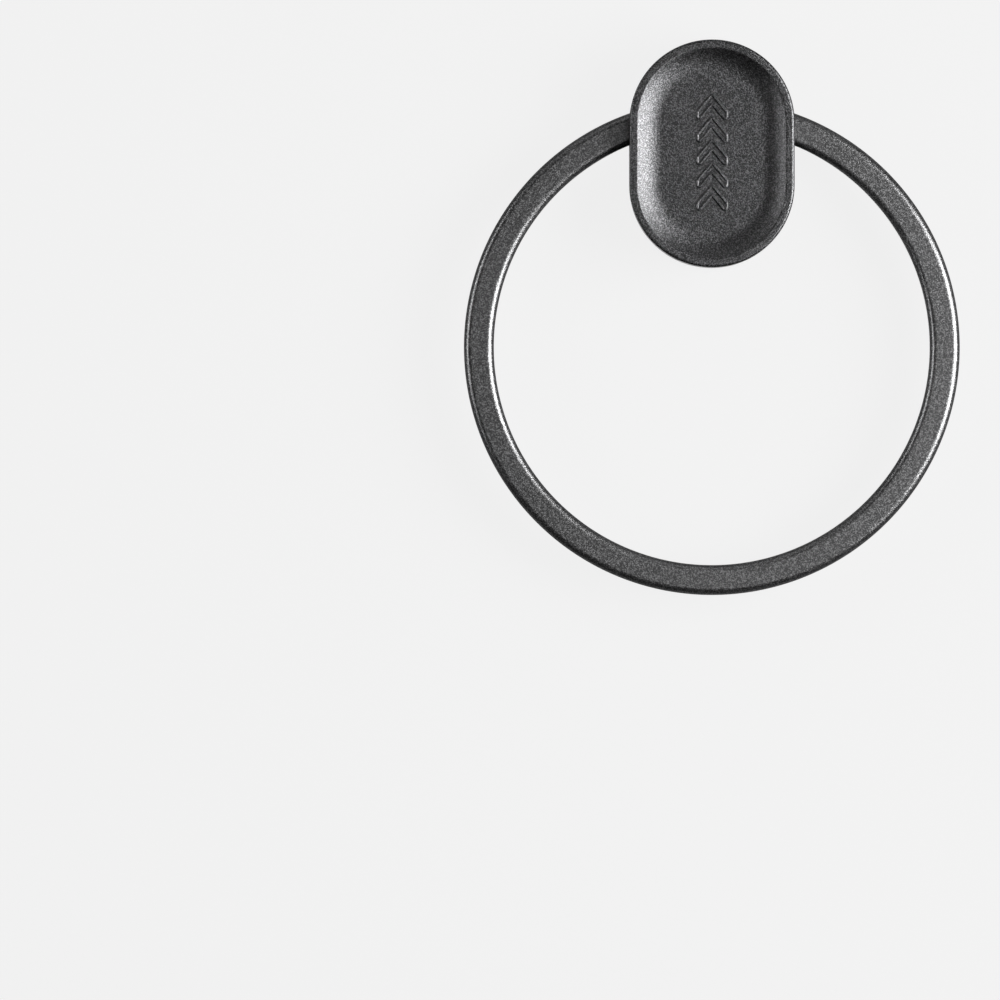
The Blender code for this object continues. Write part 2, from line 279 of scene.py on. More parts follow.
@dataclass(frozen=True)
class Finish:
    """What every finish is made from.

    `grain_size` and `grain_depth` are the width and depth of one pit or scratch. `tone_swing` is how
    far the colour varies with them, and bright specks stand out more than dark ones do. `wear` is
    how strongly edges are rubbed.
    """

    name: str
    colour: Colour
    metallic: float
    roughness: float
    grain_size: float
    grain_depth: float
    tone_swing: float
    wear: float
    dust: float

    TONE_DIP, TONE_LIFT = 0.4, 1.6
    ROUGH_DIP, ROUGH_LIFT = 0.92, 1.2
    RUBBED_GAIN, RUBBED_BASE, RUBBED_POLISH = 2.4, 0.03, 0.12
    DUST_COLOUR, DUST_ROUGHENING = (0.32, 0.31, 0.3), 0.3

    def coordinates(self, sheet: NodeSheet) -> Socket:
        """Return the coordinates that the grain follows."""
        return sheet.add("ShaderNodeTexCoord").outputs["Object"]

    def material(self, effects: SharedEffects) -> bpy.types.Material:
        """Build the material.

        Args:
            effects: The shared node groups.

        Returns:
            The finished material.
        """
        made = bpy.data.materials.new(self.name)
        made.use_nodes = True
        sheet = NodeSheet(made.node_tree)
        place = self.coordinates(sheet)
        grain = self._effect(sheet, effects.grain, {"Vector": place, "Grain Size": self.grain_size})
        edge = sheet.add("ShaderNodeAttribute", attribute_name="edge").outputs["Fac"]
        inputs = {"Vector": place, "Edge": edge, "Amount": self.wear}
        wear = self._effect(sheet, effects.wear, inputs)["Mask"]
        dust = self._effect(sheet, effects.dust, {"Vector": place, "Amount": self.dust})["Mask"]
        low = tuple(c * (1 - self.TONE_DIP * self.tone_swing) for c in self.colour)
        high = tuple(c * (1 + self.TONE_LIFT * self.tone_swing) for c in self.colour)
        rubbed = tuple(min(1.0, c * self.RUBBED_GAIN + self.RUBBED_BASE) for c in self.colour)
        colour = sheet.mix_colour(grain["Tone"], low, high)
        colour = sheet.mix_colour(wear, colour, rubbed)
        colour = sheet.mix_colour(dust, colour, self.DUST_COLOUR)
        least, most = self.roughness * self.ROUGH_DIP, self.roughness * self.ROUGH_LIFT
        rough = sheet.spread(grain["Tone"], 0.0, 1.0, least, most)
        rough = sheet.math("SUBTRACT", rough, sheet.math("MULTIPLY", wear, self.RUBBED_POLISH))
        rough = sheet.math("ADD", rough, sheet.math("MULTIPLY", dust, self.DUST_ROUGHENING))
        bump = {"Height": grain["Height"], "Distance": self.grain_depth, "Strength": 1.0}
        normal = sheet.add("ShaderNodeBump", bump).outputs[0]
        shader = made.node_tree.nodes["Principled BSDF"]
        for socket, value in (("Base Color", colour), ("Roughness", rough), ("Normal", normal)):
            made.node_tree.links.new(value, shader.inputs[socket])
        shader.inputs["Metallic"].default_value = self.metallic
        return made

    @staticmethod
    def _effect(sheet: NodeSheet, group: bpy.types.NodeTree, inputs: dict) -> bpy.types.NodeOutputs:
        """Place one shared group and return its outputs."""
        return sheet.add("ShaderNodeGroup", inputs, node_tree=group).outputs


@dataclass(frozen=True)
class DrawnSteel(Finish):
    """Wire, strip or rod whose scratches run along one axis.

    `stretch` is a scratch's width as a share of its length.
    """

    along: Axis = Axis.Y
    stretch: float = 0.08

    def coordinates(self, sheet: NodeSheet) -> Socket:
        """Draw the coordinates out along the scratches.

        Args:
            sheet: The material's tree.

        Returns:
            The stretched coordinates.
        """
        scale = [1.0, 1.0, 1.0]
        scale[self.along.value] = self.stretch
        place = super().coordinates(sheet)
        return sheet.add("ShaderNodeMapping", {"Vector": place, "Scale": scale}).outputs[0]


SHELL_BLACK = Finish(
    "shell_blasted_black", colour=(0.077, 0.077, 0.079), metallic=0.95, roughness=0.3,
    grain_size=0.085 * MM, grain_depth=0.013 * MM, tone_swing=0.78, wear=0.2, dust=0.03,
)
RING_BLACK = Finish(
    "ring_blasted_black", colour=(0.148, 0.148, 0.15), metallic=0.95, roughness=0.31,
    grain_size=0.085 * MM, grain_depth=0.006 * MM, tone_swing=0.7, wear=0.04, dust=0.02,
)
SPRING_BRIGHT = DrawnSteel(
    "spring_drawn_steel", colour=(0.56, 0.55, 0.53), metallic=1.0, roughness=0.24,
    grain_size=0.06 * MM, grain_depth=0.002 * MM, tone_swing=0.12, wear=0.0, dust=0.02,
)
PIN_GROUND = DrawnSteel(
    "pin_ground_steel", colour=(0.6, 0.6, 0.6), metallic=1.0, roughness=0.26,
    grain_size=0.05 * MM, grain_depth=0.002 * MM, tone_swing=0.1, wear=0.0, dust=0.02,
    along=Axis.Z,
)
GUIDE_ACETAL = Finish(
    "guide_moulded_acetal", colour=(0.028, 0.028, 0.03), metallic=0.0, roughness=0.46,
    grain_size=0.3 * MM, grain_depth=0.004 * MM, tone_swing=0.15, wear=0.1, dust=0.05,
)


class FinishRack:
    """Makes each material once and hands it out by slot."""

    FINISHES = {
        Slot.SHELL: SHELL_BLACK,
        Slot.RING: RING_BLACK,
        Slot.SPRING: SPRING_BRIGHT,
        Slot.PIN: PIN_GROUND,
        Slot.GUIDE: GUIDE_ACETAL,
    }

    def __init__(self) -> None:
        """Build the shared effects and every material."""
        effects = SharedEffects()
        self.made = {slot: finish.material(effects) for slot, finish in self.FINISHES.items()}

    def of(self, slot: Slot) -> bpy.types.Material:
        """Return the material of a slot."""
        return self.made[slot]


# ---- mesh helpers


def arc(centre: PlanPoint, radius: float, start: float, end: float, steps: int) -> list[PlanPoint]:
    """Return points along an arc between two angles, both ends included."""
    turns = [start + (end - start) * i / steps for i in range(steps + 1)]
    return [(centre[0] + radius * math.cos(t), centre[1] + radius * math.sin(t)) for t in turns]


def put_in_scene(name: str, data: bpy.types.ID) -> bpy.types.Object:
    """Make an object from its data and put it in the scene.

    Args:
        name: The object's name.
        data: Its mesh, lamp or camera data.

    Returns:
        The new object.
    """
    made = bpy.data.objects.new(name, data)
    bpy.context.scene.collection.objects.link(made)
    return made


def mesh_piece(
    name: str,
    points: Sequence[Point],
    faces: Sequence[tuple[int, ...]],
    material: bpy.types.Material | None = None,
) -> bpy.types.Object:
    """Make a mesh object at the origin.

    Args:
        name: The piece's name.
        points: Its vertices in the row frame.
        faces: Its faces, facing outwards.
        material: Its material, if it has one of its own.

    Returns:
        The new object.
    """
    mesh = bpy.data.meshes.new(name)
    mesh.from_pydata([Vector(p) for p in points], [], faces)
    mesh.update()
    if material:
        mesh.materials.append(material)
    return put_in_scene(name, mesh)


def smooth(piece: bpy.types.Object, angle: float = SMOOTH_ANGLE) -> None:
    """Shade a piece smooth up to an angle."""
    piece.data.shade_smooth()
    piece.data.set_sharp_from_angle(angle=angle)


def loft(
    name: str, loops: Sequence[Sequence[Point]], material: bpy.types.Material | None = None
) -> bpy.types.Object:
    """Make a closed solid through loops of points, with both ends filled.

    Args:
        name: The solid's name.
        loops: Loops of equal length, each anticlockwise as seen from the last one's side.
        material: Its material, if it has one of its own.

    Returns:
        The new object.
    """
    count = len(loops[0])
    faces = [tuple(reversed(range(count)))]
    for low in range(0, (len(loops) - 1) * count, count):
        for i in range(count):
            j = (i + 1) % count
            faces.append((low + i, low + j, low + count + j, low + count + i))
    last = (len(loops) - 1) * count
    faces.append(tuple(range(last, last + count)))
    return mesh_piece(name, [p for loop in loops for p in loop], faces, material)


def prism(name: str, outline: Sequence[PlanPoint], low: float, high: float) -> bpy.types.Object:
    """Make a solid with an anticlockwise plan outline between two heights."""
    return loft(name, [[(x, y, z) for x, y in outline] for z in (low, high)])


def mark_edges(piece: bpy.types.Object, weights: Sequence[float]) -> None:
    """Store how exposed each vertex is to rubbing."""
    layer = piece.data.attributes.new("edge", "FLOAT", "POINT")
    layer.data.foreach_set("value", list(weights))


def settle(piece: bpy.types.Object) -> bpy.types.Object:
    """Turn a piece with live modifiers into a plain mesh of the same name.

    Args:
        piece: The object whose modifiers are taken in.

    Returns:
        The plain object that takes its place.
    """
    name = piece.name
    graph = bpy.context.evaluated_depsgraph_get()
    mesh = bpy.data.meshes.new_from_object(piece.evaluated_get(graph))
    bpy.data.objects.remove(piece)
    mesh.name = name
    return put_in_scene(name, mesh)


def hand_over(piece: bpy.types.Object, body: Body, nodes: Iterable[str] = ()) -> None:
    """Put a finished piece on its body, in the place of any nodes that it stands for.

    Args:
        piece: The finished piece.
        body: The body that it moves with.
        nodes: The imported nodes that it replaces.
    """
    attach(piece, body.value)
    if nodes:
        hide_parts(*nodes)


# ---- geometry trees


class ShapeTree:
    """A geometry node tree that makes one piece from named sizes."""

    def __init__(self, name: str) -> None:
        """Start the tree.

        Args:
            name: The tree's name.
        """
        self.tree = bpy.data.node_groups.new(name, "GeometryNodeTree")
        self.tree.interface.new_socket("Geometry", in_out="OUTPUT", socket_type=SHAPE)
        self.sheet = NodeSheet(self.tree)
        self.entry = self.sheet.add("NodeGroupInput")
        self.identifiers: dict[str, str] = {}

    def size(self, name: str, kind: str = FLOAT) -> Socket:
        """Add a named input.

        Args:
            name: The input's name.
            kind: Its socket type.

        Returns:
            The socket that gives its value.
        """
        made = self.tree.interface.new_socket(name, in_out="INPUT", socket_type=kind)
        self.identifiers[name] = made.identifier
        return self.entry.outputs[name]

    def close(self, shape: Socket, material: bpy.types.Material) -> None:
        """End the tree with real, dressed geometry.

        Args:
            shape: The geometry that the tree has made.
            material: What it is dressed in.
        """
        real = self.sheet.add("GeometryNodeRealizeInstances", {0: shape}).outputs[0]
        dressed = self.sheet.add("GeometryNodeSetMaterial", {0: real, "Material": material})
        self.sheet.add("NodeGroupOutput", {0: dressed.outputs[0]})
        self.material = material

    def make(self, name: str, sizes: dict[str, object]) -> bpy.types.Object:
        """Make one plain mesh with its own sizes.

        Args:
            name: The piece's name.
            sizes: A value for each named input.

        Returns:
            The finished object.
        """
        host = mesh_piece(name, [], [])
        modifier = host.modifiers.new(self.tree.name, "NODES")
        modifier.node_group = self.tree
        for label, value in sizes.items():
            modifier[self.identifiers[label]] = value
        piece = settle(host)
        piece.data.materials.clear()
        piece.data.materials.append(self.material)
        return piece


class CoilTree(ShapeTree):
    """A compression spring along +Y, with dead turns lying close at both ends."""

    def __init__(self, material: bpy.types.Material, wire_sides: int = 14, steps: int = 420) -> None:
        """Build the tree.

        Args:
            material: The wire's material.
            wire_sides: How many sides the wire has.
            steps: How many points lie along the wire.
        """
        super().__init__("coil_spring")
        add, calc = self.sheet.add, self.sheet.math
        turns, dead = self.size("Turns"), self.size("Dead Turns")
        length, mean = self.size("Length"), self.size("Mean Radius")
        wire, gap = self.size("Wire Radius"), self.size("Dead Gap")
        start = self.size("Start", VECTOR)
        line = add("GeometryNodeMeshLine", {"Count": steps}).outputs[0]
        share = calc("DIVIDE", add("GeometryNodeInputIndex").outputs[0], float(steps - 1))
        turn = calc("MULTIPLY", share, turns)
        first = calc("MINIMUM", turn, dead)
        last = calc("MAXIMUM", calc("ADD", calc("SUBTRACT", turn, turns), dead), 0.0)
        closed = calc("ADD", first, last)
        free = calc("SUBTRACT", turn, closed)
        dead_step = calc("ADD", calc("MULTIPLY", wire, 2.0), gap)
        dead_length = calc("MULTIPLY", calc("MULTIPLY", dead, 2.0), dead_step)
        free_turns = calc("SUBTRACT", turns, calc("MULTIPLY", dead, 2.0))
        pitch = calc("DIVIDE", calc("SUBTRACT", length, dead_length), free_turns)
        rise = calc("ADD", calc("MULTIPLY", closed, dead_step), calc("MULTIPLY", free, pitch))
        angle = calc("MULTIPLY", turn, FULL_TURN)
        x = calc("MULTIPLY", calc("COSINE", angle), mean)
        z = calc("MULTIPLY", calc("SINE", angle), mean)
        place = add("ShaderNodeCombineXYZ", {"X": x, "Y": rise, "Z": z}).outputs[0]
        placed = add("ShaderNodeVectorMath", {0: place, 1: start}, operation="ADD").outputs[0]
        moved = add("GeometryNodeSetPosition", {"Geometry": line, "Position": placed}).outputs[0]
        path = add("GeometryNodeMeshToCurve", {0: moved}).outputs[0]
        circle = {"Resolution": wire_sides, "Radius": wire}
        profile = add("GeometryNodeCurvePrimitiveCircle", circle).outputs[0]
        sweep = {"Curve": path, "Profile Curve": profile, "Fill Caps": True}
        wire_mesh = add("GeometryNodeCurveToMesh", sweep).outputs[0]
        self.close(add("GeometryNodeSetShadeSmooth", {0: wire_mesh}).outputs[0], material)


class PinTree(ShapeTree):
    """A straight pin along +Z with a chamfer at each end."""

    def __init__(self, material: bpy.types.Material, sides: int = 48) -> None:
        """Build the tree.

        Args:
            material: The pin's material.
            sides: How many sides the pin has.
        """
        super().__init__("chamfered_pin")
        add, calc = self.sheet.add, self.sheet.math
        radius, length = self.size("Radius"), self.size("Length")
        chamfer, place = self.size("Chamfer"), self.size("Place", VECTOR)
        depth = calc("SUBTRACT", length, calc("MULTIPLY", chamfer, 2.0))
        body = {"Vertices": sides, "Radius": radius, "Depth": depth}
        rod = add("GeometryNodeMeshCylinder", body)
        ends = {0: rod.outputs["Top"], 1: rod.outputs["Bottom"]}
        either = add("FunctionNodeBooleanMath", ends, operation="OR").outputs[0]
        grown = {"Mesh": rod.outputs[0], "Selection": either, "Offset Scale": chamfer}
        out = add("GeometryNodeExtrudeMesh", grown)
        ratio = calc("DIVIDE", calc("SUBTRACT", radius, chamfer), radius)
        scaled = {"Geometry": out.outputs["Mesh"], "Selection": out.outputs["Top"], "Scale": ratio}
        narrowed = add("GeometryNodeScaleElements", scaled).outputs[0]
        moved = add("GeometryNodeTransform", {"Geometry": narrowed, "Translation": place}).outputs[0]
        self.close(moved, material)


class ChevronTree(ShapeTree):
    """A column of raised chevron outlines that all point along +Y."""

    # Halving the outline's sides puts a point in the middle of each short end too. Such a point lies
    # this share of the arm's width, or less, from the middle line.
    MIDWAY_SHARE = 0.25

    def __init__(
        self, material: bpy.types.Material, bead_sides: int = 12, corner_steps: int = 5
    ) -> None:
        """Build the tree.

        Args:
            material: The bead's material.
            bead_sides: How many sides the raised bead has.
            corner_steps: How many steps each rounded corner has.
        """
        super().__init__("push_chevrons")
        add, calc = self.sheet.add, self.sheet.math
        count, pitch = self.size("Count", WHOLE), self.size("Pitch")
        width, arm = self.size("Width"), self.size("Arm Width")
        rise, bead = self.size("Rise"), self.size("Bead Radius")
        corner, start = self.size("Corner Radius"), self.size("Start", VECTOR)
        sides = {"Width": width, "Height": arm}
        oblong = add("GeometryNodeCurvePrimitiveQuadrilateral", sides).outputs[0]
        halved = add("GeometryNodeSubdivideCurve", {"Curve": oblong, "Cuts": 1}).outputs[0]
        where = add("ShaderNodeSeparateXYZ", {0: add("GeometryNodeInputPosition").outputs[0]})
        across, along = (calc("ABSOLUTE", where.outputs[axis]) for axis in ("X", "Y"))
        on_end = calc("LESS_THAN", along, calc("MULTIPLY", arm, self.MIDWAY_SHARE))
        outline = add("GeometryNodeDeleteGeometry", {0: halved, "Selection": on_end}).outputs[0]
        inward = calc("SUBTRACT", 1.0, calc("DIVIDE", across, calc("MULTIPLY", width, 0.5)))
        lift = add("ShaderNodeCombineXYZ", {"Y": calc("MULTIPLY", inward, rise)}).outputs[0]
        bent = add("GeometryNodeSetPosition", {"Geometry": outline, "Offset": lift}).outputs[0]
        rounding = {"Curve": bent, "Radius": corner, "Limit Radius": True, "Count": corner_steps}
        fillet = add("GeometryNodeFilletCurve", rounding, mode="POLY")
        circle = {"Resolution": bead_sides, "Radius": bead}
        profile = add("GeometryNodeCurvePrimitiveCircle", circle).outputs[0]
        sweep = {"Curve": fillet.outputs[0], "Profile Curve": profile}
        mark = add("GeometryNodeCurveToMesh", sweep).outputs[0]
        mark = add("GeometryNodeSetShadeSmooth", {0: mark}).outputs[0]
        step = add("ShaderNodeCombineXYZ", {"Y": pitch}).outputs[0]
        row = {"Count": count, "Start Location": start, "Offset": step}
        column = add("GeometryNodeMeshLine", row).outputs[0]
        marks = add("GeometryNodeInstanceOnPoints", {"Points": column, "Instance": mark}).outputs[0]
        self.close(marks, material)


# ---- the key ring


@dataclass
class KeyBar:
    """The open steel bar, rounded along its edges and at its ends.

    Points that stand a `support` from each fillet keep the flats flat. The section narrows towards
    an end, and its fillets shrink so that it stays `fillets_across` of them wide.
    """

    centre: Vector
    outer_radius: float
    half_thickness: float
    band_width: float = 2.05 * MM
    edge_fillet: float = 0.48 * MM
    gap_angle: float = math.radians(14.6)
    end_outer_fillet: float = 0.25 * MM
    end_inner_fillet: float = 1.6 * MM
    support: float = 0.03 * MM
    fillets_across: float = 3.0
    smooth_angle: float = math.radians(40)
    turns: int = 480
    corner_steps: int = 10
    end_steps: int = 24

    @classmethod
    def from_frame(cls) -> "KeyBar":
        """Read the bar's place and size from the frame.

        Returns:
            The bar, ready to build.
        """
        spin = next(joint for joint in frame["joints"] if joint["name"] == "ring_spin")
        low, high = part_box("split_ring")
        centre = Vector(spin["pos_m"])
        return cls(centre, centre.y - low[1], (high[2] - low[2]) / 2)

    @property
    def inner_radius(self) -> float:
        """The radius inside the bar."""
        return self.outer_radius - self.band_width

    @staticmethod
    def _drop(distance: float, fillet: float) -> float:
        """Find how far a fillet stands back.

        Args:
            distance: How far from the bar's end.
            fillet: The fillet's radius.

        Returns:
            The distance that the face stands back there.
        """
        if distance >= fillet:
            return 0.0
        return fillet - math.sqrt(fillet**2 - (fillet - distance) ** 2)

    def _corners(self, distance: float) -> tuple[float, float, float, float]:
        """Size the section near an end.

        Args:
            distance: How far from the bar's end.

        Returns:
            Its inner and outer radius, half height and fillet.
        """
        inner = self.inner_radius + self._drop(distance, self.end_inner_fillet)
        outer = self.outer_radius - self._drop(distance, self.end_outer_fillet)
        half = self.half_thickness - self._drop(distance, self.edge_fillet)
        return inner, outer, half, min(self.edge_fillet, (outer - inner) / self.fillets_across)

    def _section(self, turn: float, distance: float) -> list[Point]:
        """Draw one rounded section, with close points beside each fillet to keep flats flat.

        Args:
            turn: The section's angle round the ring.
            distance: How far it is from the bar's nearer end.

        Returns:
            Its points in the row frame.
        """
        inner, outer, half, fillet = self._corners(distance)
        near = min(self.support, (outer - inner) / 2 - fillet)
        loop: list[PlanPoint] = []
        for quarter in range(4):
            right, up = quarter in (0, 3), quarter < 2
            across = outer - fillet if right else inner + fillet
            height = half - fillet if up else fillet - half
            start = quarter * RIGHT_ANGLE
            bend = arc((across, height), fillet, start, start + RIGHT_ANGLE, self.corner_steps)
            back = (-near * math.sin(start), near * math.cos(start))
            ahead = (-near * math.cos(start), -near * math.sin(start))
            loop.append((bend[0][0] - back[0], bend[0][1] - back[1]))
            loop += bend
            loop.append((bend[-1][0] + ahead[0], bend[-1][1] + ahead[1]))
        c, s, hub = math.cos(turn), math.sin(turn), self.centre
        return [(hub.x + r * c, hub.y + r * s, hub.z + z) for r, z in reversed(loop)]

    def _places(self) -> list[tuple[float, float]]:
        """Place the sections, close together where the ends round off.

        Returns:
            Each section's angle and its distance from the nearer end.
        """
        mean = (self.inner_radius + self.outer_radius) / 2
        start = RIGHT_ANGLE + self.gap_angle / 2
        span = FULL_TURN - self.gap_angle
        turns = [RIGHT_ANGLE * i / self.end_steps for i in range(self.end_steps + 1)]
        close = [self.end_inner_fillet * (1 - math.cos(t)) for t in turns]
        first = start + close[-1] / mean
        body = span - 2 * close[-1] / mean
        middle = [(first + body * i / self.turns, mean) for i in range(1, self.turns)]
        head = [(start + d / mean, d) for d in close]
        tail = [(start + span - d / mean, d) for d in reversed(close)]
        return head + middle + tail

    def _edge_weights(self, loops: int) -> list[float]:
        """Weigh how exposed each point is to rubbing, highest in the middle of each fillet.

        Args:
            loops: How many sections the bar has.

        Returns:
            A weight for each point.
        """
        steps = self.corner_steps
        fillet = [math.sin(math.pi * i / steps) for i in range(steps + 1)]
        return ([0.0, *fillet, 0.0] * 4) * loops

    def build(self, rack: FinishRack) -> bpy.types.Object:
        """Build the bar and hand it over.

        Args:
            rack: Where its finish comes from.

        Returns:
            The finished bar.
        """
        loops = [self._section(turn, distance) for turn, distance in self._places()]
        bar = loft("key_bar", loops, rack.of(Slot.RING))
        mark_edges(bar, self._edge_weights(len(loops)))
        smooth(bar, self.smooth_angle)
        hand_over(bar, Body.RING, ["split_ring"])
        return bar


@dataclass
class ClaspShells:
    """The two halves of the oval clasp, each with a dished face inside a flat rim.

    The profile climbs from the seam, rounds the rim and sinks into the dish. Points that stand a
    `support` from each edge keep the flats flat. `fit` is the room above the guide and past a pin's
    ends, `pin_fit` the room round a pin, and each `wear` says how rubbed an edge is.
    """

    low: Vector
    high: Vector
    rim_width: float = 0.55 * MM
    rim_fillet: float = 0.18 * MM
    crease: float = 0.03 * MM
    dish_depth: float = 0.5 * MM
    dish_wall: float = 1.65 * MM
    seam_gap: float = 0.05 * MM
    seam_bevel: float = 0.08 * MM
    side_wall: float = 0.95 * MM
    lock_seat_wall: float = 2.2 * MM
    return_seat_wall: float = 1.5 * MM
    fit: float = 0.1 * MM
    slot_fit: float = 0.15 * MM
    pin_fit: float = 0.02 * MM
    support: float = 0.02 * MM
    push: float = 3.7 * MM
    seam_wear: float = 0.1
    seam_edge_wear: float = 0.3
    crease_wear: float = 0.7
    floor_supports: int = 4
    arc_steps: int = 72
    dish_steps: int = 22
    fillet_steps: int = 7
    hole_sides: int = 48

    @classmethod
    def from_frame(cls) -> "ClaspShells":
        """Read the clasp's box from the frame and return the clasp."""
        return cls(Vector(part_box("back_shell")[0]), Vector(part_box("front_shell")[1]))

    @property
    def centre(self) -> Vector:
        """The clasp's centre."""
        return (self.low + self.high) / 2

    @property
    def half(self) -> float:
        """Half the clasp's thickness."""
        return (self.high.z - self.low.z) / 2

    @property
    def radius(self) -> float:
        """The radius of the oval's ends."""
        return (self.high.x - self.low.x) / 2

    @property
    def straight(self) -> float:
        """How far each end's centre stands from the clasp's centre."""
        return (self.high.y - self.low.y) / 2 - self.radius

    @property
    def dish_floor(self) -> float:
        """The height of the front dish's floor."""
        return self.high.z - self.dish_depth

    def _oval(self, inset: float, height: float) -> list[Point]:
        """Draw one loop of the oval.

        Args:
            inset: How far the loop is drawn in.
            height: Its height in the row frame.

        Returns:
            Its points, anticlockwise from above.
        """
        radius, middle = self.radius - inset, self.centre
        upper = arc((0, self.straight), radius, 0, math.pi, self.arc_steps)
        lower = arc((0, -self.straight), radius, math.pi, FULL_TURN, self.arc_steps)
        return [(middle.x + x, middle.y + y, height) for x, y in upper + lower]

    def _dish_drop(self, share: float) -> float:
        """Return how deep the dish's wall is at a share of its width."""
        return self.dish_depth * (1 - (1 - share) ** 2)

    def _profile(self) -> list[tuple[float, float, float]]:
        """Draw a half's profile from the seam to the dish's floor.

        Returns:
            Each point's inset, its height above the middle and its rubbing weight.
        """
        seam, top, fillet = self.seam_gap / 2, self.half, self.rim_fillet
        profile = [(self.seam_bevel, seam, self.seam_wear)]
        profile.append((0.0, seam + self.seam_bevel, self.seam_edge_wear))
        profile.append((0.0, seam + self.seam_bevel + self.support, 0.0))
        profile.append((0.0, top - fillet - self.support, 0.0))
        for i in range(self.fillet_steps + 1):
            turn = RIGHT_ANGLE * i / self.fillet_steps
            inset = fillet * (1 - math.cos(turn))
            profile.append((inset, top - fillet * (1 - math.sin(turn)), math.sin(2 * turn)))
        profile.append((fillet + self.support, top, 0.0))
        profile.append((self.rim_width - self.crease - self.support, top, 0.0))
        profile.append((self.rim_width - self.crease, top, self.crease_wear))
        for i in range(1, self.dish_steps + 1):
            share = i / self.dish_steps
            inset = self.rim_width + share * self.dish_wall
            profile.append((inset, top - self._dish_drop(share), 0.0))
        floor_start = self.rim_width + self.dish_wall + self.support * self.floor_supports
        profile.append((floor_start, top - self.dish_depth, 0.0))
        return profile

    def _hollow(self) -> list[PlanPoint]:
        """Draw the plan of the clasp's inside.

        Returns:
            Its outline, anticlockwise from above.
        """
        inner, middle = self.radius - self.side_wall, self.centre
        half_length = self.straight + self.radius
        top = math.asin((half_length - self.lock_seat_wall - self.straight) / inner)
        bottom = math.asin((half_length - self.return_seat_wall - self.straight) / inner)
        right = arc((0, -self.straight), inner, -bottom, 0, self.arc_steps // 2)
        right += arc((0, self.straight), inner, 0, top, self.arc_steps // 2)
        plan = right + [(-x, y) for x, y in reversed(right)]
        return [(middle.x + x, middle.y + y) for x, y in plan]

    def _slot_ends(self, bar: KeyBar) -> tuple[float, float]:
        """Find where the side slots that the bar runs through begin and end.

        Args:
            bar: The bar that runs through them.

        Returns:
            Their lowest and highest place along +Y.
        """
        inner_wall = self.radius - self.side_wall
        top = bar.centre.y + math.sqrt(bar.outer_radius**2 - inner_wall**2)
        bottom = bar.centre.y + math.sqrt(bar.inner_radius**2 - self.radius**2)
        return bottom - self.push - self.slot_fit, top + self.slot_fit

    def _cutters(self, bar: KeyBar) -> list[bpy.types.Object]:
        """Make the solids that hollow out both halves.

        Args:
            bar: The bar that runs through the clasp.

        Returns:
            The solids to cut away.
        """
        middle = self.centre
        guide_low, guide_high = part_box("ring_guide")
        depth = (guide_high[2] - guide_low[2]) / 2 + self.fit
        tools = [prism("hollow", self._hollow(), middle.z - depth, middle.z + depth)]
        bottom, top = self._slot_ends(bar)
        reach, rise = 2 * self.radius, bar.half_thickness + self.slot_fit
        corners = [(-reach, bottom), (reach, bottom), (reach, top), (-reach, top)]
        tools.append(prism("side_slots", corners, middle.z - rise, middle.z + rise))
        for name in PIN_NODES:
            low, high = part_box(name)
            place = ((low[0] + high[0]) / 2, (low[1] + high[1]) / 2)
            bore = (high[0] - low[0]) / 2 + self.pin_fit
            turn = FULL_TURN * (1 - 1 / self.hole_sides)
            hole = arc(place, bore, 0, turn, self.hole_sides - 1)
            tools.append(prism(f"{name}_hole", hole, low[2] - self.fit, high[2] + self.fit))
        return tools

    def _blank(self, name: str, half: Half, material: bpy.types.Material) -> bpy.types.Object:
        """Make one uncut half.

        Args:
            name: The half's name.
            half: Which half it is.
            material: Its material.

        Returns:
            The solid half.
        """
        profile = self._profile()
        loops = [self._oval(inset, self.centre.z + half.value * rise) for inset, rise, _ in profile]
        if half is Half.BACK:
            loops = [list(reversed(loop)) for loop in loops]
        blank = loft(name, loops, material)
        mark_edges(blank, [weight for _, _, weight in profile for _ in loops[0]])
        return blank

    def build(self, rack: FinishRack, bar: KeyBar) -> list[bpy.types.Object]:
        """Build both halves and hand them over.

        Args:
            rack: Where their finish comes from.
            bar: The bar that runs through them.

        Returns:
            The front and the back half.
        """
        tools = self._cutters(bar)
        sides = (("clasp_front", "front_shell", Half.FRONT), ("clasp_back", "back_shell", Half.BACK))
        halves = []
        for name, node, half in sides:
            blank = self._blank(name, half, rack.of(Slot.SHELL))
            for tool in tools:
                cut = blank.modifiers.new(tool.name, "BOOLEAN")
                cut.operation, cut.solver, cut.object = "DIFFERENCE", "EXACT", tool
            shell = settle(blank)
            smooth(shell)
            hand_over(shell, Body.CLASP, [node])
            halves.append(shell)
        for tool in tools:
            bpy.data.objects.remove(tool)
        return halves


@dataclass
class PushMark:
    """The raised chevrons on the dish's floor that show which way the clasp is pulled.

    `rise` is how far a tip stands ahead of its ends, and `sink` is how far the outline's middle
    lies below the dish's floor.
    """

    centre: Vector
    floor: float
    count: int = 5
    pitch: float = 1.56 * MM
    width: float = 2.0 * MM
    arm_width: float = 0.65 * MM
    rise: float = 1.2 * MM
    bead: float = 0.125 * MM
    corner: float = 0.12 * MM
    sink: float = 0.015 * MM

    def build(self, rack: FinishRack) -> bpy.types.Object:
        """Build the column of chevrons and hand it over.

        Args:
            rack: Where its finish comes from.

        Returns:
            The finished column.
        """
        tree = ChevronTree(rack.of(Slot.SHELL))
        start_y = self.centre.y - self.pitch * (self.count - 1) / 2 - self.rise / 2
        sizes = {
            "Count": self.count,
            "Pitch": self.pitch,
            "Width": self.width,
            "Arm Width": self.arm_width,
            "Rise": self.rise,
            "Bead Radius": self.bead,
            "Corner Radius": self.corner,
            "Start": (self.centre.x, start_y, self.floor - self.sink),
        }
        mark = tree.make("push_chevrons", sizes)
        hand_over(mark, Body.CLASP)
        return mark


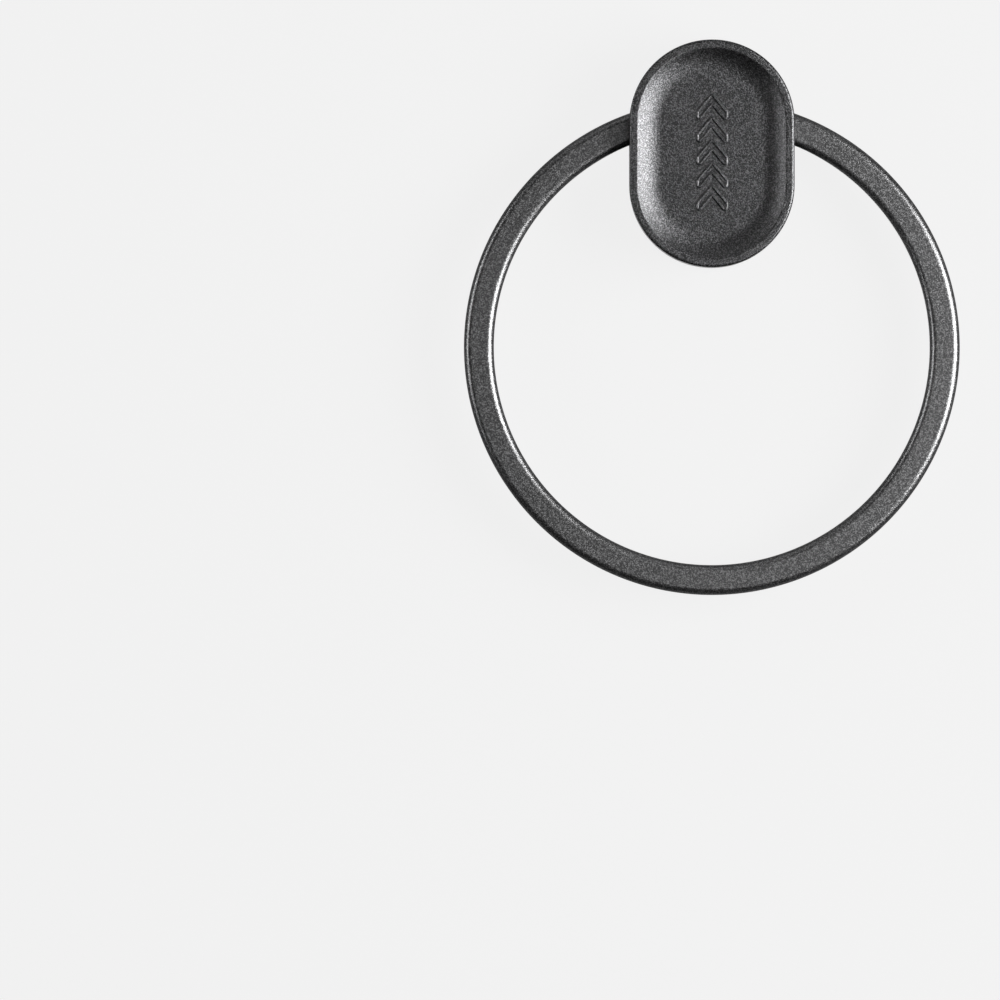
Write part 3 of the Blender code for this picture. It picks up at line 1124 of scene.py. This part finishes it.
@dataclass
class ReturnSprings:
    """The two coil springs that draw the clasp back over the ring.

    `dead_turns` lie closed at each end, a `dead_gap` apart. `squeezed` is the share of its length
    that a spring keeps when the clasp is out, and nothing here uses it.
    """

    wire_radius: float = 0.13 * MM
    turns: float = 6.5
    dead_turns: float = 1.0
    dead_gap: float = 0.03 * MM
    squeezed: float = 0.38
    nodes: Sequence[str] = ("return_spring_left", "return_spring_right")

    def build(self, rack: FinishRack) -> list[bpy.types.Object]:
        """Build both springs at their imported length and hand them over.

        Args:
            rack: Where their finish comes from.

        Returns:
            The two springs.
        """
        tree = CoilTree(rack.of(Slot.SPRING))
        made = []
        for node in self.nodes:
            low, high = (Vector(corner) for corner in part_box(node))
            middle = (low + high) / 2
            seat = low.y + self.wire_radius
            sizes = {
                "Turns": self.turns,
                "Dead Turns": self.dead_turns,
                "Length": high.y - low.y - 2 * self.wire_radius,
                "Mean Radius": (high.x - low.x) / 2 - self.wire_radius,
                "Wire Radius": self.wire_radius,
                "Dead Gap": self.dead_gap,
                "Start": (middle.x, seat, middle.z),
            }
            coil = tree.make(node.replace("return_spring", "return_coil"), sizes)
            hand_over(coil, Body.CLASP, [node])
            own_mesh(coil)
            made.append(coil)
        return made


@dataclass
class ShellPins:
    """The four pins that hold the clasp's halves together, chamfered at both ends."""

    chamfer: float = 0.08 * MM

    def build(self, rack: FinishRack) -> list[bpy.types.Object]:
        """Build every pin and hand it over.

        Args:
            rack: Where their finish comes from.

        Returns:
            The four pins.
        """
        tree = PinTree(rack.of(Slot.PIN))
        made = []
        for node in PIN_NODES:
            low, high = (Vector(corner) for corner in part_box(node))
            sizes = {
                "Radius": (high.x - low.x) / 2,
                "Length": high.z - low.z,
                "Chamfer": self.chamfer,
                "Place": tuple((low + high) / 2),
            }
            pin = tree.make(node.replace("pin", "shell_pin"), sizes)
            smooth(pin)
            hand_over(pin, Body.CLASP, [node])
            made.append(pin)
        return made


@dataclass(frozen=True)
class EasedPiece:
    """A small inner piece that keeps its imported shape, with its sharp edges eased.

    Faces that meet at less than `flat_angle` are one flat, and edges over `sharp_angle` are broken
    by `ease`. Points within `weld` of each other are one.
    """

    name: str
    node: str
    body: Body
    slot: Slot
    ease: float
    segments: int = 2
    flat_angle: float = math.radians(0.5)
    sharp_angle: float = math.radians(35)
    weld: float = 0.0005 * MM

    def build(self, rack: FinishRack) -> bpy.types.Object:
        """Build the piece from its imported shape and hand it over.

        Args:
            rack: Where its finish comes from.

        Returns:
            The finished piece.
        """
        mesh = frame["nodes"][self.node].data.copy()
        mesh.materials.clear()
        mesh.materials.append(rack.of(self.slot))
        piece = put_in_scene(self.name, mesh)
        piece.modifiers.new("weld", "WELD").merge_threshold = self.weld
        flats = piece.modifiers.new("flats", "DECIMATE")
        flats.decimate_type, flats.angle_limit = "DISSOLVE", self.flat_angle
        bevel = piece.modifiers.new("ease", "BEVEL")
        bevel.limit_method, bevel.angle_limit = "ANGLE", self.sharp_angle
        bevel.width, bevel.segments = self.ease, self.segments
        piece = settle(piece)
        smooth(piece)
        hand_over(piece, self.body, [self.node])
        return piece


INNER_PIECES = (
    EasedPiece("bar_guide", "ring_guide", Body.GUIDE, Slot.GUIDE, 0.06 * MM),
    EasedPiece("lock_leaf", "lock_spring", Body.CLASP, Slot.SPRING, 0.04 * MM),
)


# ---- studio


@dataclass(frozen=True)
class Softbox:
    """One soft lamp that faces the key ring.

    `heading` is where it stands, from +X towards +Y, and `tilt` how far it leans away from straight
    overhead, in degrees. `tall` is its width along the tilt, and `glow` its radiance.
    """

    name: str
    heading: float
    tilt: float
    distance: float
    wide: float
    tall: float
    glow: float

    def place(self, target: Vector) -> None:
        """Set the lamp up so that it faces a point.

        Args:
            target: The point that it faces.
        """
        lamp = bpy.data.lights.new(self.name, "AREA")
        lamp.shape = "RECTANGLE"
        lamp.size, lamp.size_y = self.wide, self.tall
        lamp.energy = self.glow * math.pi * self.wide * self.tall
        heading, tilt = math.radians(self.heading), math.radians(self.tilt)
        level, up = math.sin(tilt), math.cos(tilt)
        away = Vector((level * math.cos(heading), level * math.sin(heading), up))
        made = put_in_scene(self.name, lamp)
        made.location = target + away * self.distance
        made.rotation_mode = "QUATERNION"
        made.rotation_quaternion = (-away).to_track_quat("-Z", "Y")


@dataclass
class Studio:
    """The pale floor, the soft lamps and the camera straight above.

    The floor glows by itself, and `floor_bounce` is how much lamp light it returns, which sets how
    strong shadows are. The camera sees the surroundings at one `paleness`. All else is lit by
    `glow_stops`, the glow at each height from -1, straight down, to 1, straight up.
    """

    target: Vector
    view_width: float = 68.57 * MM
    ring_right_of_view: float = 14.52 * MM
    ring_above_view: float = 10.48 * MM
    lens: float = 1000.0
    sensor: float = 36.0
    clip_near: float = 0.01
    clip_far: float = 4.0
    floor_side: float = 6.0
    floor_drop: float = 0.02 * MM
    floor_glow: float = 0.85
    floor_bounce: float = 0.03
    floor_roughness: float = 0.9
    fibre_scale: float = 2500.0
    fibre_shade: float = 0.995
    paleness: float = 0.879
    glow_stops: Sequence[tuple[float, float]] = (
        (-1.0, 1.5), (-0.93, 0.03), (-0.85, 0.02), (-0.62, 0.26), (-0.25, 0.32), (-0.1, 0.03),
        (0.1, 0.03), (0.25, 0.09), (0.42, 0.005),
    )
    lamps: Sequence[Softbox] = (
        Softbox("right_softbox", heading=2, tilt=49, distance=0.25, wide=0.17, tall=0.17, glow=13.5),
        Softbox("left_strip", heading=172, tilt=60, distance=0.3, wide=0.19, tall=0.065, glow=7.0),
        Softbox("top_fill", heading=95, tilt=60, distance=0.6, wide=0.8, tall=0.5, glow=0.45),
        Softbox("overhead_fill", heading=0, tilt=11, distance=0.15, wide=0.09, tall=0.09, glow=0.6),
    )

    def build(self) -> None:
        """Set the whole studio up."""
        self._floor()
        self._world()
        for lamp in self.lamps:
            lamp.place(self.target)
        self._camera()
        bpy.context.scene.view_settings.view_transform = "Standard"

    def _floor(self) -> None:
        """Lay the pale floor, which the metal doesn't mirror."""
        half, drop = self.floor_side / 2, -self.floor_drop
        corners = [(-half, -half, drop), (half, -half, drop), (half, half, drop), (-half, half, drop)]
        paper = bpy.data.materials.new("pale_paper")
        paper.use_nodes = True
        sheet = NodeSheet(paper.node_tree)
        shader = paper.node_tree.nodes["Principled BSDF"]
        shader.inputs["Base Color"].default_value = (*[self.floor_bounce] * 3, 1.0)
        shader.inputs["Roughness"].default_value = self.floor_roughness
        shader.inputs["Specular IOR Level"].default_value = 0.0
        shader.inputs["Emission Strength"].default_value = self.floor_glow
        place = sheet.add("ShaderNodeTexCoord").outputs["Object"]
        fibre = sheet.noise(place, self.fibre_scale, detail=2.0)
        tint = sheet.mix_colour(fibre, [self.fibre_shade] * 3, (1.0, 1.0, 1.0))
        paper.node_tree.links.new(tint, shader.inputs["Emission Color"])
        below = sheet.add("ShaderNodeNewGeometry").outputs["Backfacing"]
        clear = sheet.add("ShaderNodeBsdfTransparent").outputs[0]
        seen = sheet.add("ShaderNodeMixShader", {0: below, 1: shader.outputs[0], 2: clear}).outputs[0]
        paper.node_tree.links.new(seen, paper.node_tree.nodes["Material Output"].inputs["Surface"])
        floor = mesh_piece("studio_floor", corners, [(0, 1, 2, 3)], paper)
        floor.visible_glossy = False
        floor.visible_diffuse = False

    def _world(self) -> None:
        """Make the surroundings pale to look at, with a glow that changes with height to light by."""
        world = bpy.data.worlds.new("studio_air")
        world.use_nodes = True
        bpy.context.scene.world = world
        tree = world.node_tree
        sheet = NodeSheet(tree)
        dim = tree.nodes["Background"]
        heading = sheet.add("ShaderNodeTexCoord").outputs["Generated"]
        height = sheet.add("ShaderNodeSeparateXYZ", {0: heading}).outputs["Z"]
        ramp = sheet.add("ShaderNodeValToRGB", {0: sheet.spread(height, -1.0, 1.0)})
        stops = ramp.color_ramp.elements
        while len(stops) < len(self.glow_stops):
            stops.new(1.0)
        for stop, (level, glow) in zip(stops, self.glow_stops):
            stop.position, stop.color = (level + 1) / 2, (glow, glow, glow, 1.0)
        tree.links.new(ramp.outputs[0], dim.inputs["Color"])
        seen = sheet.add("ShaderNodeBackground", {"Color": (*[self.paleness] * 3, 1.0)})
        ray = sheet.add("ShaderNodeLightPath").outputs["Is Camera Ray"]
        mix = sheet.add("ShaderNodeMixShader", {0: ray, 1: dim.outputs[0], 2: seen.outputs[0]})
        tree.links.new(mix.outputs[0], tree.nodes["World Output"].inputs["Surface"])

    def _camera(self) -> None:
        """Hang the camera straight above, with the ring up and to the right in its view."""
        camera = bpy.data.cameras.new("camera")
        camera.sensor_width, camera.lens = self.sensor, self.lens
        distance = self.lens * self.view_width / self.sensor
        camera.clip_start, camera.clip_end = distance * self.clip_near, distance * self.clip_far
        above = Vector((-self.ring_right_of_view, -self.ring_above_view, distance))
        made = put_in_scene("camera", camera)
        made.location = self.target + above
        bpy.context.scene.camera = made


def main() -> None:
    """Build every piece in order, then the studio, and note the sizes."""
    logging.basicConfig(level=logging.INFO, format="%(name)s: %(message)s")
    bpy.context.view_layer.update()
    rack = FinishRack()
    bar = KeyBar.from_frame()
    shells = ClaspShells.from_frame()
    made = shells.build(rack, bar)
    made.append(bar.build(rack))
    made.append(PushMark(shells.centre, shells.dish_floor).build(rack))
    made += ReturnSprings().build(rack)
    made += ShellPins().build(rack)
    made += [piece.build(rack) for piece in INNER_PIECES]
    for piece in made:
        log.info("%s: %d faces", piece.name, len(piece.data.polygons))
    Studio(bar.centre).build()
    bpy.context.view_layer.update()


if __name__ == "__main__":
    main()
